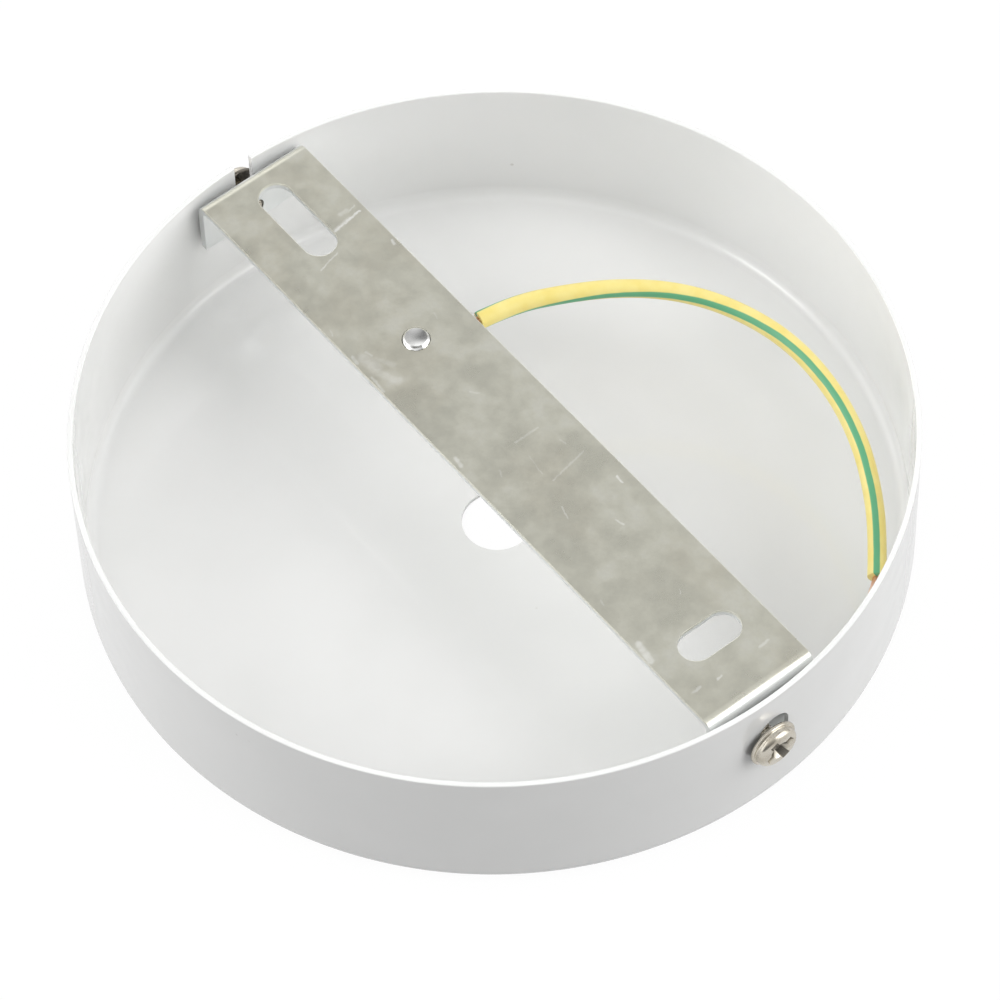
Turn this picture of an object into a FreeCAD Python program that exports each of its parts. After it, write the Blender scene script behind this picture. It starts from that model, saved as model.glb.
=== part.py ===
import FreeCAD, Part
import math
import os
import re
import Sketcher
from FreeCAD import Placement, Rotation, Vector

# A ceiling rose for a pendant lamp, seen with its open side up: a shallow pressed cup, a folded
# bracket that is fixed to the ceiling, two collar-head screws that hold the cup on the bracket, and
# an earth wire whose ring terminal is screwed up against the bracket.
# The origin is the centre of the cup's flat outside face. +Z points to the ceiling, and +X runs
# along the bracket to the screw that stands in the wall's closed slot.

# Driving dimensions, in millimetres and degrees
SIZES = {
    # Pressed cup
    "cup_radius": 60.0,
    "cup_height": 25.0,
    "cup_wall": 0.8,
    "cup_bend": 2.0,
    "rim_round": 0.2,
    "cable_hole_radius": 5.15,
    # Screw openings in the cup wall: one short upright slot, one notch open at the rim
    "wall_slot_radius": 2.6,
    "wall_slot_lift": 1.8,
    "wall_slot_gap": 0.15,
    "notch_width": 3.1,
    "notch_drop": 0.4,
    # Folded bracket
    "bracket_wall_gap": 1.2,
    "bracket_width": 18.4,
    "bracket_side": 0.6,
    "bracket_thick": 1.2,
    "bracket_below_rim": 0.8,
    "near_flange": 12.0,
    "far_flange": 10.0,
    "bracket_bend": 0.8,
    "near_screw_drop": 8.6,
    "far_screw_drop": 7.4,
    "punch_side": 0.9,
    "slot_width": 5.2,
    "long_slot_length": 15.4,
    "long_slot_inset": 11.5,
    "cross_slot_length": 10.0,
    "cross_slot_inset": 11.8,
    "earth_reach": 18.9,
    "thread_clearance": 0.05,
    # Side screws, M3 with a thin collar under a low wide head, and how far each stands off the wall
    "side_shank_radius": 1.45,
    "side_shank_length": 4.3,
    "near_standoff": 0.6,
    "far_standoff": 1.0,
    "side_collar_radius": 3.8,
    "side_collar_thick": 0.6,
    "side_collar_round": 0.2,
    "side_head_radius": 3.35,
    "side_head_height": 1.3,
    "side_head_round": 0.9,
    "side_recess_span": 5.0,
    "side_recess_width": 1.3,
    "side_cone_radius": 1.6,
    # Earth screw, M4 pan head
    "earth_shank_radius": 2.0,
    "earth_screw_proud": 0.45,
    "earth_head_radius": 3.9,
    "earth_head_height": 2.4,
    "earth_head_round": 1.3,
    "earth_recess_span": 3.6,
    "earth_recess_width": 0.9,
    "earth_cone_radius": 1.0,
    # Depths of the cross recess, and the tip, of both kinds of screw
    "recess_depth": 1.0,
    "recess_cone_depth": 1.6,
    "tip_chamfer": 0.4,
    # Toothed lock washer
    "washer_radius": 3.9,
    "washer_bore_radius": 2.15,
    "washer_thick": 0.6,
    "washer_teeth": 10.0,
    "washer_gap_width": 0.9,
    "washer_gap_depth": 0.8,
    # Ring terminal
    "ring_radius": 4.0,
    "ring_bore_radius": 2.15,
    "ring_thick": 0.8,
    "tongue_width": 3.6,
    "barrel_reach": 4.8,
    "barrel_length": 4.8,
    "barrel_radius": 1.6,
    "barrel_bore_radius": 0.8,
    "crimp_radius": 1.5,
    "crimp_depth": 0.5,
    "terminal_heading": 81.5,
    # Earth wire
    "wire_radius": 1.35,
    "wire_gap": 0.6,
    "wire_lead_out": 5.6,
    "core_radius": 0.72,
    "strand_radius": 0.19,
    "strand_ring_radius": 0.42,
    "strand_length": 4.0,
    "strand_tip_share": 0.8,
    "strand_count": 6.0,
}

# Heights that several pieces share, written with the names above
BRACKET_TOP = "cup_height - bracket_below_rim"
BRACKET_UNDER = BRACKET_TOP + " - bracket_thick"
NEAR_LINE = BRACKET_TOP + " - near_screw_drop"
FAR_LINE = BRACKET_TOP + " - far_screw_drop"
EARTH_STACK = "washer_thick + ring_thick + bracket_thick"
# Half the bracket's length, and the middles of its two slots
BRACKET_END = "(cup_radius - cup_wall - bracket_wall_gap)"
LONG_SLOT = "-" + BRACKET_END + " + long_slot_inset"
CROSS_SLOT = BRACKET_END + " - cross_slot_inset"

# Route of the wire past its first two points, which are in line with the terminal's barrel. Each
# point is told from the first one
WIRE_ROUTE = [
    (3.8, 12.5, -0.3),
    (7.7, 19.4, -0.6),
    (13.2, 25.7, -1.0),
    (20.5, 30.4, -1.5),
    (29.7, 33.1, -2.1),
    (39.7, 32.7, -2.7),
    (49.1, 29.9, -3.3),
    (57.4, 25.3, -3.9),
    (63.2, 20.9, -4.5),
    (67.1, 17.4, -4.9),
]
# Way the bare strands lean at the wire's free end
STRAND_WAY = (0.52, -0.84, -0.12)
UP = Vector(0, 0, 1)

doc = FreeCAD.newDocument("ceiling_rose")
sheet = doc.addObject("Spreadsheet::Sheet", "Sizes")
for row, (word, value) in enumerate(SIZES.items(), start=1):
    sheet.set("A%d" % row, word)
    sheet.set("B%d" % row, str(value))
    sheet.setAlias("B%d" % row, word)
doc.recompute()


def bound(text):
    """The same sum with every driving dimension read from the sheet."""
    return re.sub(r"[a-z_]+", lambda m: "Sizes." + m.group() if m.group() in SIZES else m.group(), text)


def number(text):
    """The value of a sum of driving dimensions, for code that places geometry itself."""
    return float(sheet.evalExpression(bound(text)))


def new_body(label):
    body = doc.addObject("PartDesign::Body", label)
    body.Label = label
    return body


def new_sketch(body, name, role, lift=None):
    """An empty sketch on one of the body's own origin planes, or at a height above it."""
    sketch = body.newObject("Sketcher::SketchObject", name)
    plane = next(item for item in body.Origin.OriginFeatures if item.Role == role)
    sketch.AttachmentSupport = [(plane, "")]
    sketch.MapMode = "FlatFace"
    if lift:
        sketch.setExpression(".AttachmentOffset.Base.z", bound(lift))
    return sketch


def pin(sketch, shape, end, across, up):
    """Ties one point of a sketch to its two coordinates."""
    for kind, text, axis in (("DistanceX", across, -2), ("DistanceY", up, -1)):
        value = number(text)
        if abs(value) < 1e-9:
            sketch.addConstraint(Sketcher.Constraint("PointOnObject", shape, end, axis))
        else:
            at = sketch.addConstraint(Sketcher.Constraint(kind, -1, 1, shape, end, value))
            sketch.setExpression("Constraints[%d]" % at, bound(text))


def outline(sketch, corners):
    """A closed outline of straight lines through corners given as sums."""
    at = [Vector(number(a), number(b), 0) for a, b in corners]
    count = len(at)
    first = sketch.GeometryCount
    for k in range(count):
        sketch.addGeometry(Part.LineSegment(at[k], at[(k + 1) % count]), False)
    for k in range(count):
        joint = Sketcher.Constraint("Coincident", first + k, 2, first + (k + 1) % count, 1)
        sketch.addConstraint(joint)
    for k, (a, b) in enumerate(corners):
        pin(sketch, first + k, 1, a, b)


def square_outline(sketch, corners):
    """A closed outline of level and upright lines, where a third sum rounds its corner."""
    at = [Vector(number(corner[0]), number(corner[1]), 0) for corner in corners]
    reach = [number(corner[2]) if len(corner) > 2 else 0.0 for corner in corners]
    count = len(at)
    ways = [(at[(k + 1) % count] - at[k]).normalize() for k in range(count)]
    first = sketch.GeometryCount
    for k in range(count):
        start = at[k] + ways[k] * reach[k]
        end = at[(k + 1) % count] - ways[k] * reach[(k + 1) % count]
        sketch.addGeometry(Part.LineSegment(start, end), False)
    for k, corner in enumerate(corners):
        line_in = first + (k - 1) % count
        line_out = first + k
        if not reach[k]:
            sketch.addConstraint(Sketcher.Constraint("Coincident", line_in, 2, line_out, 1))
            pin(sketch, line_out, 1, corner[0], corner[1])
            continue
        # The arc runs anticlockwise, so a left turn starts on it and a right turn ends on it
        inward = ways[k] - ways[k - 1]
        left_turn = ways[k - 1].cross(ways[k]).z > 0
        begin = -ways[k] if left_turn else ways[k - 1]
        turn = math.atan2(begin.y, begin.x)
        centre = at[k] + inward * reach[k]
        bend = Part.ArcOfCircle(Part.Circle(centre, UP, reach[k]), turn, turn + math.pi / 2)
        shape = sketch.addGeometry(bend, False)
        sketch.addConstraint(Sketcher.Constraint("Tangent", line_in, 2, shape, 1 if left_turn else 2))
        sketch.addConstraint(Sketcher.Constraint("Tangent", shape, 2 if left_turn else 1, line_out, 1))
        fixed = sketch.addConstraint(Sketcher.Constraint("Radius", shape, reach[k]))
        sketch.setExpression("Constraints[%d]" % fixed, bound(corner[2]))
        signs = ["+" if part > 0 else "-" for part in (inward.x, inward.y)]
        sums = ["(%s) %s (%s)" % (corner[n], signs[n], corner[2]) for n in range(2)]
        pin(sketch, shape, 3, sums[0], sums[1])


def circle(sketch, across, up, radius):
    centre = Vector(number(across), number(up), 0)
    shape = sketch.addGeometry(Part.Circle(centre, UP, number(radius)), False)
    pin(sketch, shape, 3, across, up)
    at = sketch.addConstraint(Sketcher.Constraint("Radius", shape, number(radius)))
    sketch.setExpression("Constraints[%d]" % at, bound(radius))


def slot(sketch, start, end, radius):
    """A slot with round ends about two centres, the second further along the same axis."""
    a = Vector(number(start[0]), number(start[1]), 0)
    b = Vector(number(end[0]), number(end[1]), 0)
    along = (b - a).normalize()
    side = Vector(-along.y, along.x, 0)
    reach = number(radius)
    left = math.atan2(side.y, side.x)
    round_a = Part.ArcOfCircle(Part.Circle(a, UP, reach), left, left + math.pi)
    round_b = Part.ArcOfCircle(Part.Circle(b, UP, reach), left + math.pi, left + 2 * math.pi)
    low = Part.LineSegment(a - side * reach, b - side * reach)
    high = Part.LineSegment(b + side * reach, a + side * reach)
    first = sketch.GeometryCount
    for piece in (round_a, low, round_b, high):
        sketch.addGeometry(piece, False)
    for k in range(4):
        sketch.addConstraint(Sketcher.Constraint("Tangent", first + k, 2, first + (k + 1) % 4, 1))
    sketch.addConstraint(Sketcher.Constraint("Equal", first, first + 2))
    at = sketch.addConstraint(Sketcher.Constraint("Radius", first, reach))
    sketch.setExpression("Constraints[%d]" % at, bound(radius))
    pin(sketch, first, 3, *start)
    pin(sketch, first + 2, 3, *end)


def turned(body, name, sketch, kind="PartDesign::Revolution"):
    """A full turn of the sketch about its own vertical axis, added or cut."""
    feature = body.newObject(kind, name)
    feature.Profile = sketch
    feature.ReferenceAxis = (sketch, ["V_Axis"])
    feature.Angle = 360.0
    return feature


def pad(body, name, sketch, length, both_ways=False):
    feature = body.newObject("PartDesign::Pad", name)
    feature.Profile = sketch
    feature.setExpression("Length", bound(length))
    feature.Midplane = both_ways
    return feature


def pocket(body, name, sketch, length=None, forward=True, both_ways=False):
    """A cut along the sketch's normal, or against it, right through or to a depth."""
    feature = body.newObject("PartDesign::Pocket", name)
    feature.Profile = sketch
    feature.Type = "Length" if length else "ThroughAll"
    if length:
        feature.setExpression("Length", bound(length))
    feature.Reversed = forward
    feature.Midplane = both_ways
    return feature


def rounded(body, name, radius, wanted):
    """A fillet on every edge of the tip that the test picks."""
    doc.recompute()
    base = body.Tip
    names = ["Edge%d" % k for k, edge in enumerate(base.Shape.Edges, start=1) if wanted(edge)]
    feature = body.newObject("PartDesign::Fillet", name)
    feature.Base = (base, names)
    feature.setExpression("Radius", bound(radius))
    doc.recompute()
    return feature


def ring_edge(radius, height):
    """A test that picks the full circle of one radius at one height."""
    want_radius = number(radius)
    want_height = number(height)

    def test(edge):
        curve = edge.Curve
        if not isinstance(curve, Part.Circle):
            return False
        return abs(curve.Radius - want_radius) < 1e-4 and abs(curve.Center.z - want_height) < 1e-4
    return test


# Cup: a turned half section with its bends and rounded rim, then the two screw openings
def make_cup():
    body = new_body("cup")
    section = new_sketch(body, "cup_section", "XZ_Plane")
    inside = "cup_radius - cup_wall"
    square_outline(section, [
        ("cable_hole_radius", "0"),
        ("cup_radius", "0", "cup_bend + cup_wall"),
        ("cup_radius", "cup_height", "rim_round"),
        (inside, "cup_height", "rim_round"),
        (inside, "cup_wall", "cup_bend"),
        ("cable_hole_radius", "cup_wall"),
    ])
    turned(body, "cup_shell", section)
    opening = new_sketch(body, "cup_wall_slot_sketch", "YZ_Plane")
    side = "wall_slot_radius - side_shank_radius - wall_slot_gap"
    slot(opening, (side, NEAR_LINE), (side, NEAR_LINE + " + wall_slot_lift"), "wall_slot_radius")
    pocket(body, "cup_wall_slot", opening)
    seat = FAR_LINE + " - notch_drop"
    notch = new_sketch(body, "cup_notch_sketch", "YZ_Plane")
    top = "2 * cup_height - (" + seat + ")"
    slot(notch, ("bracket_side", seat), ("bracket_side", top), "notch_width / 2")
    pocket(body, "cup_notch", notch, forward=False)
    return body


# Bracket: a channel outline folded from strip, with its bends, then all its punched holes
def make_bracket():
    body = new_body("bracket")
    side = new_sketch(body, "bracket_side_view", "XZ_Plane", lift="-bracket_side")
    near_foot = BRACKET_TOP + " - near_flange"
    far_foot = BRACKET_TOP + " - far_flange"
    outer_bend = "bracket_bend + bracket_thick"
    square_outline(side, [
        ("-" + BRACKET_END, far_foot),
        ("-" + BRACKET_END + " + bracket_thick", far_foot),
        ("-" + BRACKET_END + " + bracket_thick", BRACKET_UNDER, "bracket_bend"),
        (BRACKET_END + " - bracket_thick", BRACKET_UNDER, "bracket_bend"),
        (BRACKET_END + " - bracket_thick", near_foot),
        (BRACKET_END, near_foot),
        (BRACKET_END, BRACKET_TOP, outer_bend),
        ("-" + BRACKET_END, BRACKET_TOP, outer_bend),
    ])
    pad(body, "bracket_strip", side, "bracket_width", both_ways=True)
    punch = new_sketch(body, "bracket_punch_sketch", "XY_Plane")
    round_end = "slot_width / 2"
    long_half = "(long_slot_length - slot_width) / 2"
    slot(punch, (LONG_SLOT + " - " + long_half, "punch_side"),
         (LONG_SLOT + " + " + long_half, "punch_side"), round_end)
    cross_half = "(cross_slot_length - slot_width) / 2"
    slot(punch, (CROSS_SLOT, "punch_side - " + cross_half),
         (CROSS_SLOT, "punch_side + " + cross_half), round_end)
    circle(punch, "-earth_reach", "punch_side", "earth_shank_radius + thread_clearance")
    pocket(body, "bracket_punching", punch)
    near = new_sketch(body, "bracket_near_tapped_sketch", "YZ_Plane")
    circle(near, "0", NEAR_LINE, "side_shank_radius + thread_clearance")
    pocket(body, "bracket_near_tapped_hole", near)
    far = new_sketch(body, "bracket_far_tapped_sketch", "YZ_Plane")
    circle(far, "bracket_side", FAR_LINE, "side_shank_radius + thread_clearance")
    pocket(body, "bracket_far_tapped_hole", far, forward=False)
    return body


# Screw: head up along its own +Z, with its origin under the head
def make_screw(label, kind, length, collar):
    body = new_body(label)
    section = new_sketch(body, label + "_section", "XZ_Plane")
    shank = kind + "_shank_radius"
    head = kind + "_head_radius"
    top = kind + "_head_height"
    corners = [
        ("0", "-(" + length + ")"),
        (shank + " - tip_chamfer", "-(" + length + ")"),
        (shank, "tip_chamfer - (" + length + ")"),
        (shank, "0"),
    ]
    if collar:
        top = top + " + side_collar_thick"
        corners += [("side_collar_radius", "0"), ("side_collar_radius", "side_collar_thick"),
                    (head, "side_collar_thick")]
    else:
        corners += [(head, "0")]
    corners += [(head, top), ("0", top)]
    outline(section, corners)
    turned(body, label + "_blank", section)
    rounded(body, label + "_crown", kind + "_head_round", ring_edge(head, top))
    if collar:
        edge = ring_edge("side_collar_radius", "side_collar_thick")
        rounded(body, label + "_collar_edge", "side_collar_round", edge)
    cone = new_sketch(body, label + "_cone_sketch", "XZ_Plane")
    wide = kind + "_cone_radius"
    outline(cone, [("0", top + " - recess_cone_depth"), (wide, top), ("0", top)])
    turned(body, label + "_recess_cone", cone, "PartDesign::Groove")
    cross = new_sketch(body, label + "_cross_sketch", "XY_Plane", lift=top)
    near = kind + "_recess_width / 2"
    far = kind + "_recess_span / 2"
    outline(cross, [
        (near, near), (near, far), ("-" + near, far), ("-" + near, near), ("-" + far, near),
        ("-" + far, "-" + near), ("-" + near, "-" + near), ("-" + near, "-" + far),
        (near, "-" + far), (near, "-" + near), (far, "-" + near), (far, near),
    ])
    pocket(body, label + "_recess_cross", cross, "recess_depth", forward=False)
    return body


# Lock washer: a ring with gaps between its outer teeth, flat on its own XY plane
def make_washer():
    body = new_body("earth_washer")
    rings = new_sketch(body, "washer_sketch", "XY_Plane")
    circle(rings, "0", "0", "washer_radius")
    circle(rings, "0", "0", "washer_bore_radius")
    pad(body, "washer_ring", rings, "washer_thick")
    gap = new_sketch(body, "washer_gap_sketch", "XY_Plane")
    outline(gap, [
        ("washer_radius - washer_gap_depth", "-washer_gap_width / 4"),
        ("washer_radius + washer_gap_depth", "-washer_gap_width"),
        ("washer_radius + washer_gap_depth", "washer_gap_width"),
        ("washer_radius - washer_gap_depth", "washer_gap_width / 4"),
    ])
    cut = pocket(body, "washer_gap", gap)
    doc.recompute()
    teeth = body.newObject("PartDesign::PolarPattern", "washer_teeth_pattern")
    teeth.Originals = [cut]
    teeth.Axis = (gap, ["N_Axis"])
    teeth.Angle = 360.0
    teeth.setExpression("Occurrences", bound("washer_teeth"))
    body.Tip = teeth
    return body


# Ring terminal: ring and tongue on its own XY plane, barrel along +X and hanging below them
def make_terminal():
    body = new_body("earth_terminal")
    rings = new_sketch(body, "terminal_ring_sketch", "XY_Plane")
    circle(rings, "0", "0", "ring_radius")
    circle(rings, "0", "0", "ring_bore_radius")
    pad(body, "terminal_ring", rings, "ring_thick")
    tongue = new_sketch(body, "terminal_tongue_sketch", "XY_Plane")
    outline(tongue, [
        ("(ring_radius + ring_bore_radius) / 2", "-tongue_width / 2"),
        ("barrel_reach", "-barrel_radius * 0.8"),
        ("barrel_reach + barrel_radius", "-barrel_radius * 0.8"),
        ("barrel_reach + barrel_radius", "barrel_radius * 0.8"),
        ("barrel_reach", "barrel_radius * 0.8"),
        ("(ring_radius + ring_bore_radius) / 2", "tongue_width / 2"),
    ])
    pad(body, "terminal_tongue", tongue, "ring_thick")
    tube = new_sketch(body, "terminal_barrel_sketch", "YZ_Plane", lift="barrel_reach")
    circle(tube, "0", "ring_thick - barrel_radius", "barrel_radius")
    pad(body, "terminal_barrel", tube, "barrel_length")
    bore = new_sketch(body, "terminal_bore_sketch", "YZ_Plane", lift="barrel_reach")
    circle(bore, "0", "ring_thick - barrel_radius", "barrel_bore_radius")
    pocket(body, "terminal_bore", bore)
    dent = new_sketch(body, "terminal_crimp_sketch", "XZ_Plane")
    circle(dent, "barrel_reach + barrel_length / 2",
           "ring_thick - 2 * barrel_radius - crimp_radius + crimp_depth", "crimp_radius")
    pocket(body, "terminal_crimp", dent, both_ways=True)
    return body


def rounded_route(points, diameter):
    """Straight runs joined by tangent arcs, each as large as its two runs allow."""
    edges = []
    here = points[0]
    for before, corner, after in zip(points, points[1:], points[2:]):
        way_in = (corner - before).normalize()
        way_out = (after - corner).normalize()
        half_turn = way_in.getAngle(way_out) / 2
        reach = 0.45 * min((corner - before).Length, (after - corner).Length)
        radius = reach / math.tan(half_turn)
        print("wire turn %.1f degrees, radius %.1f mm" % (math.degrees(2 * half_turn), radius))
        if radius < 5 * diameter:
            raise ValueError("a bend of the wire is too tight")
        start = corner - way_in * reach
        end = corner + way_out * reach
        inward = (way_out - way_in).normalize()
        middle = corner + inward * (radius / math.cos(half_turn) - radius)
        edges.append(Part.LineSegment(here, start).toShape())
        edges.append(Part.Arc(start, middle, end).toShape())
        here = end
    edges.append(Part.LineSegment(here, points[-1]).toShape())
    return Part.Wire(edges)


def earth_point(reach, drop):
    """A point on the terminal's own line, at a reach from the ring and a depth under the bracket."""
    heading = math.radians(number("terminal_heading"))
    across = Vector(math.cos(heading), math.sin(heading), 0) * reach
    return Vector(number("-earth_reach"), number("punch_side"), number(BRACKET_UNDER) - drop) + across


# Wire: a plain round tube along its route, face to face with the bare copper at both ends
def make_wire():
    barrel_end = number("barrel_reach + barrel_length + wire_gap")
    start = earth_point(barrel_end, number("barrel_radius"))
    lead_out = earth_point(barrel_end + number("wire_lead_out"), number("barrel_radius"))
    points = [start, lead_out] + [start + Vector(*step) for step in WIRE_ROUTE]
    radius = number("wire_radius")
    path = rounded_route(points, 2 * radius)
    face_on = points[1] - points[0]
    profile = Part.Wire([Part.makeCircle(radius, start, face_on)])
    tube = path.makePipeShell([profile], True, True)
    expected = math.pi * radius ** 2 * path.Length
    print("wire length %.1f mm, volume %.1f of %.1f mm3" % (path.Length, tube.Volume, expected))
    if abs(tube.Volume / expected - 1) > 0.01:
        raise ValueError("the wire's tube has the wrong volume")
    wire = doc.addObject("Part::Feature", "earth_wire")
    wire.Shape = tube
    wire.Label = "earth_wire"
    return wire, points


# Bare copper: the stub in the terminal's barrel, and the strands that lean at the free end
def make_copper(points):
    inner = earth_point(number("barrel_reach"), number("barrel_radius"))
    stub_way = points[0] - inner
    solids = [Part.makeCylinder(number("core_radius"), stub_way.Length, inner, stub_way)]
    end = points[-1]
    wire_way = (points[-1] - points[-2]).normalize()
    side = wire_way.cross(UP).normalize()
    rise = side.cross(wire_way)
    lean = Vector(*STRAND_WAY).normalize()
    base = number("strand_radius")
    tip = base * number("strand_tip_share")
    length = number("strand_length")
    ring = number("strand_ring_radius")
    count = int(number("strand_count"))
    places = [Vector(0, 0, 0)]
    for k in range(count):
        turn = 2 * math.pi * k / count
        places.append(side * (ring * math.cos(turn)) + rise * (ring * math.sin(turn)))
    for place in places:
        strand = Part.makeCone(base, tip, length, end + place, lean)
        # A strand starts on the insulation's end face, square to the wire
        block = Part.makeBox(8, 8, 8, Vector(-4, -4, -8))
        block.Placement = Placement(end, Rotation(UP, wire_way)).multiply(block.Placement)
        solids.append(strand.cut(block))
    copper = doc.addObject("Part::Feature", "earth_wire_copper")
    copper.Shape = Part.makeCompound(solids)
    copper.Label = "earth_wire_copper"
    return copper


def place(body, turn, across, side, up):
    """Turns a body, and ties its place to the driving dimensions."""
    body.Placement = Placement(Vector(0, 0, 0), turn)
    for axis, text in (("x", across), ("y", side), ("z", up)):
        body.setExpression(".Placement.Base." + axis, bound(text))


cup = make_cup()
bracket = make_bracket()
side_screw_1 = make_screw("side_screw_1", "side", "side_shank_length", True)
side_screw_2 = make_screw("side_screw_2", "side", "side_shank_length", True)
earth_screw = make_screw("earth_screw", "earth", EARTH_STACK + " + earth_screw_proud", False)
washer = make_washer()
terminal = make_terminal()

# Each side screw points inwards along X, and the earth hardware hangs under the bracket
place(side_screw_1, Rotation(UP, Vector(1, 0, 0)), "cup_radius + near_standoff", "0", NEAR_LINE)
place(side_screw_2, Rotation(UP, Vector(-1, 0, 0)), "-cup_radius - far_standoff", "bracket_side", FAR_LINE)
place(earth_screw, Rotation(Vector(1, 0, 0), 180), "-earth_reach", "punch_side",
      BRACKET_UNDER + " - ring_thick - washer_thick")
place(washer, Rotation(), "-earth_reach", "punch_side", BRACKET_UNDER + " - ring_thick - washer_thick")
place(terminal, Rotation(UP, number("terminal_heading")), "-earth_reach", "punch_side",
      BRACKET_UNDER + " - ring_thick")
doc.recompute()
wire, wire_points = make_wire()
copper = make_copper(wire_points)
doc.recompute()

# Nothing is written unless every object is up to date and every piece is sound
for item in doc.Objects:
    if "Invalid" in item.State or "Error" in item.State:
        raise ValueError("%s has failed: %s" % (item.Name, item.State))
pieces = [cup, bracket, side_screw_1, side_screw_2, earth_screw, washer, terminal, wire, copper]
os.makedirs("parts", exist_ok=True)
for piece in pieces:
    shape = piece.Shape
    if shape.isNull() or not shape.isValid() or not shape.Solids:
        raise ValueError("%s is not a sound solid" % piece.Label)
    print("%s: %d solids, %.2f mm3" % (piece.Label, len(shape.Solids), shape.Volume))
for piece in pieces:
    piece.Shape.exportStep(os.path.join("parts", piece.Label + ".step"))
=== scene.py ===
import math
import bmesh
import bpy
import numpy as np
from mathutils import Matrix, Vector


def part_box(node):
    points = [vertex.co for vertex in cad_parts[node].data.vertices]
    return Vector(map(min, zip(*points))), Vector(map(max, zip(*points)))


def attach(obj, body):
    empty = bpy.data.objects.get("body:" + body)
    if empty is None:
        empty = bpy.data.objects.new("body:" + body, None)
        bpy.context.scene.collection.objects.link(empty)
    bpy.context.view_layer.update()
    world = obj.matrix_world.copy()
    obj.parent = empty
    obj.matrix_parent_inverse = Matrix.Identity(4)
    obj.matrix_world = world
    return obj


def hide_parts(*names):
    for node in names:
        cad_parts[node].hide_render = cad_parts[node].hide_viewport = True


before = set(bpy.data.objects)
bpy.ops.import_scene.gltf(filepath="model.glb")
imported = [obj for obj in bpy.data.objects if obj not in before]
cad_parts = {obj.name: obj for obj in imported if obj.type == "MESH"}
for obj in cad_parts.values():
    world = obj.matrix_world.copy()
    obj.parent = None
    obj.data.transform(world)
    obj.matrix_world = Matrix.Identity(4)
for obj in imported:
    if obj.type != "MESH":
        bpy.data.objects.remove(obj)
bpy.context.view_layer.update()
mm = 0.001
print("frame loaded")


# how the photographer stood: a long lens, high over the rose and a little left of its bracket
camera = {
    "azimuth": -36.95,       # degrees, the side of the rose that the camera stands on
    "elevation": 55.663,
    "distance": 825.78 * mm,
    "roll": 2.023,           # degrees, how far the picture is turned
    "lens": 206.49,
    "shiftX": 0.0025,
    "shiftY": 0.0232,
}


def placeCamera():
    # the camera stands on a sphere about the rose's foot, looks at its centre, and is then rolled
    around = math.radians(camera["azimuth"])
    above = math.radians(camera["elevation"])
    back = Vector((math.cos(above) * math.cos(around), math.cos(above) * math.sin(around), math.sin(above)))
    right = Vector((0, 0, 1)).cross(back).normalized()
    up = back.cross(right)
    turn = math.radians(camera["roll"])
    rolledRight = right * math.cos(turn) - up * math.sin(turn)
    rolledUp = right * math.sin(turn) + up * math.cos(turn)
    lens = bpy.data.cameras.new("studioCamera")
    lens.lens = camera["lens"]
    lens.sensor_width = 36
    lens.clip_start = 0.01
    lens.clip_end = 20
    lens.shift_x = camera["shiftX"]
    lens.shift_y = camera["shiftY"]
    eye = bpy.data.objects.new("studioCamera", lens)
    turned = Matrix((rolledRight, rolledUp, back)).transposed()
    eye.matrix_world = Matrix.Translation(back * camera["distance"]) @ turned.to_4x4()
    bpy.context.collection.objects.link(eye)
    bpy.context.scene.camera = eye


placeCamera()
print("camera placed")


# small helpers for shapes that are worked out as whole arrays
def arc(centreX, centreY, radius, fromDegrees, toDegrees, count):
    # points at equal steps of angle on a circle
    turn = np.radians(np.linspace(fromDegrees, toDegrees, count))
    return np.column_stack([centreX + radius * np.cos(turn), centreY + radius * np.sin(turn)])


def straight(fromPoint, toPoint, count):
    # points at equal steps on a line, without its two ends
    share = np.linspace(0, 1, count + 2)[1:-1, None]
    return np.array(fromPoint) * (1 - share) + np.array(toPoint) * share


def stadium(lowCentre, highCentre, radius, count=25):
    # the outline of a slot, whose two round ends lie one above or beside the other
    low, high = np.array(lowCentre, float), np.array(highCentre, float)
    way = math.degrees(math.atan2(high[1] - low[1], high[0] - low[0]))
    return np.vstack([arc(high[0], high[1], radius, way - 90, way + 90, count),
                      arc(low[0], low[1], radius, way + 90, way + 270, count)])


def turnedGrid(profile, steps):
    # each point of the profile, as distance from the axis and height, is carried round Z
    turn = np.linspace(0, 2 * np.pi, steps, endpoint=False)
    radius = profile[:, 0][:, None]
    height = np.repeat(profile[:, 1][:, None], steps, axis=1)
    return np.stack([radius * np.cos(turn), radius * np.sin(turn), height], axis=-1)


def gridFaces(rows, columns, closeRows=False, closeColumns=True):
    # one quad for each step of row and column, wrapped round where asked
    row = np.arange(rows if closeRows else rows - 1)
    column = np.arange(columns if closeColumns else columns - 1)
    r, c = np.meshgrid(row, column, indexing="ij")
    nextR = (r + 1) % rows
    nextC = (c + 1) % columns
    here, above = r * columns, nextR * columns
    quads = np.stack([here + c, here + nextC, above + nextC, above + c], axis=-1)
    return quads.reshape(-1, 4)


def newPiece(name, points, faces, sharpDegrees=30, maps=None):
    # maps, if given, is one UV pair for each corner of each face, in the order of the faces
    mesh = bpy.data.meshes.new(name)
    mesh.from_pydata(points.reshape(-1, 3).tolist(), [], [list(face) for face in faces])
    if maps is not None:
        layer = mesh.uv_layers.new(name="alongAndAround")
        layer.data.foreach_set("uv", np.asarray(maps, float).ravel())
    tidyMesh(mesh, sharpDegrees)
    piece = bpy.data.objects.new(name, mesh)
    bpy.context.collection.objects.link(piece)
    return piece


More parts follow.
